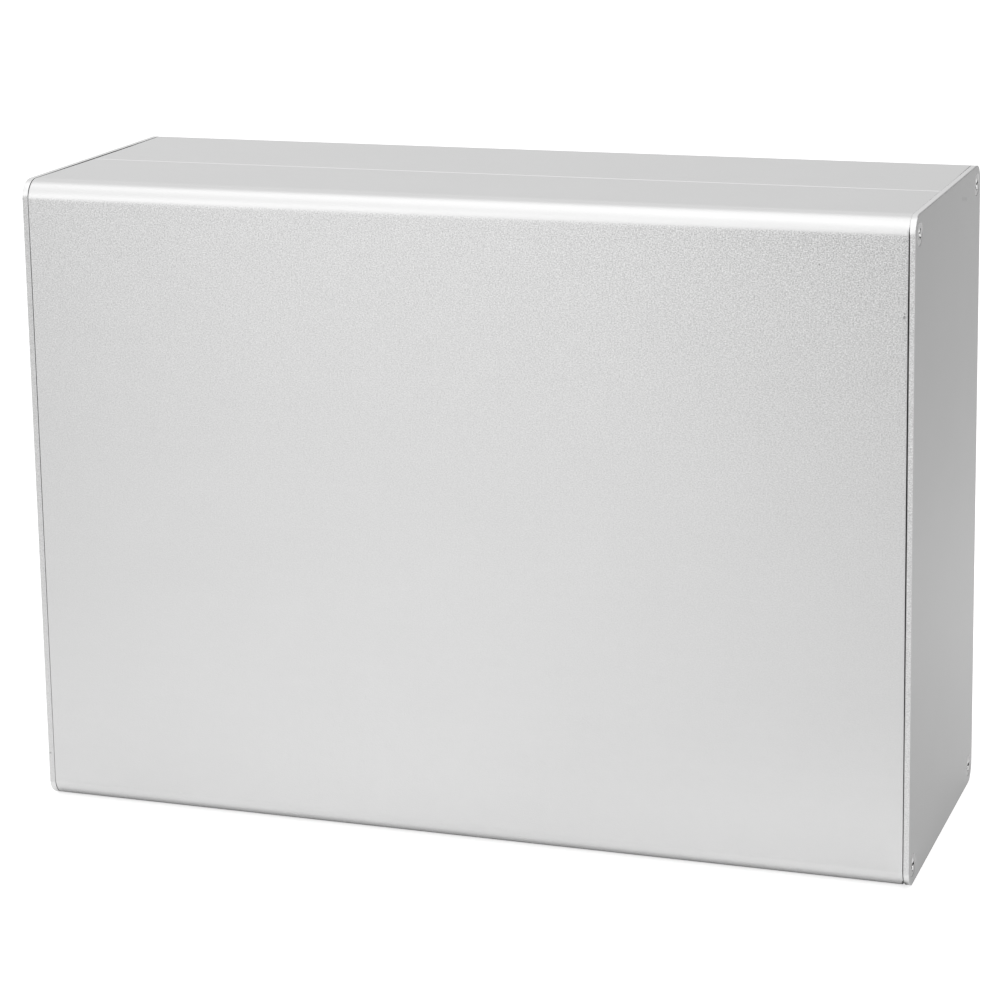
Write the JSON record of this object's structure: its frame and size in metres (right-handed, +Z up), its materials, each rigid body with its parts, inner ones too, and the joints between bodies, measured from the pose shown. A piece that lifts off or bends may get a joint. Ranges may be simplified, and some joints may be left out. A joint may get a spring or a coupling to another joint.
{
  "type": "aluminium project box",
  "caption": "Rectangular split-shell extruded aluminium enclosure with screwed-on flat end plates and inner guides that hold circuit boards.",
  "frame": {"origin": "centre of the standing side, at the bottom of the box as it stands", "axes": "+X along the extrusion towards the right end plate, +Y from the front face to the back face, +Z up from the standing side"},
  "size_m": [0.223, 0.08, 0.16],
  "materials": {
    "anodised_shell": "bead-blasted and clear anodised, satin",
    "anodised_plate": "fine matt, clear anodised",
    "screw_steel": "nickel plated"
  },
  "bodies": {
    "root": {"front_shell": "anodised_shell", "back_shell": "anodised_shell", "left_end_plate": "anodised_plate", "right_end_plate": "anodised_plate", "left_plate_screws": "screw_steel", "right_plate_screws": "screw_steel"}
  },
  "joints": []
}
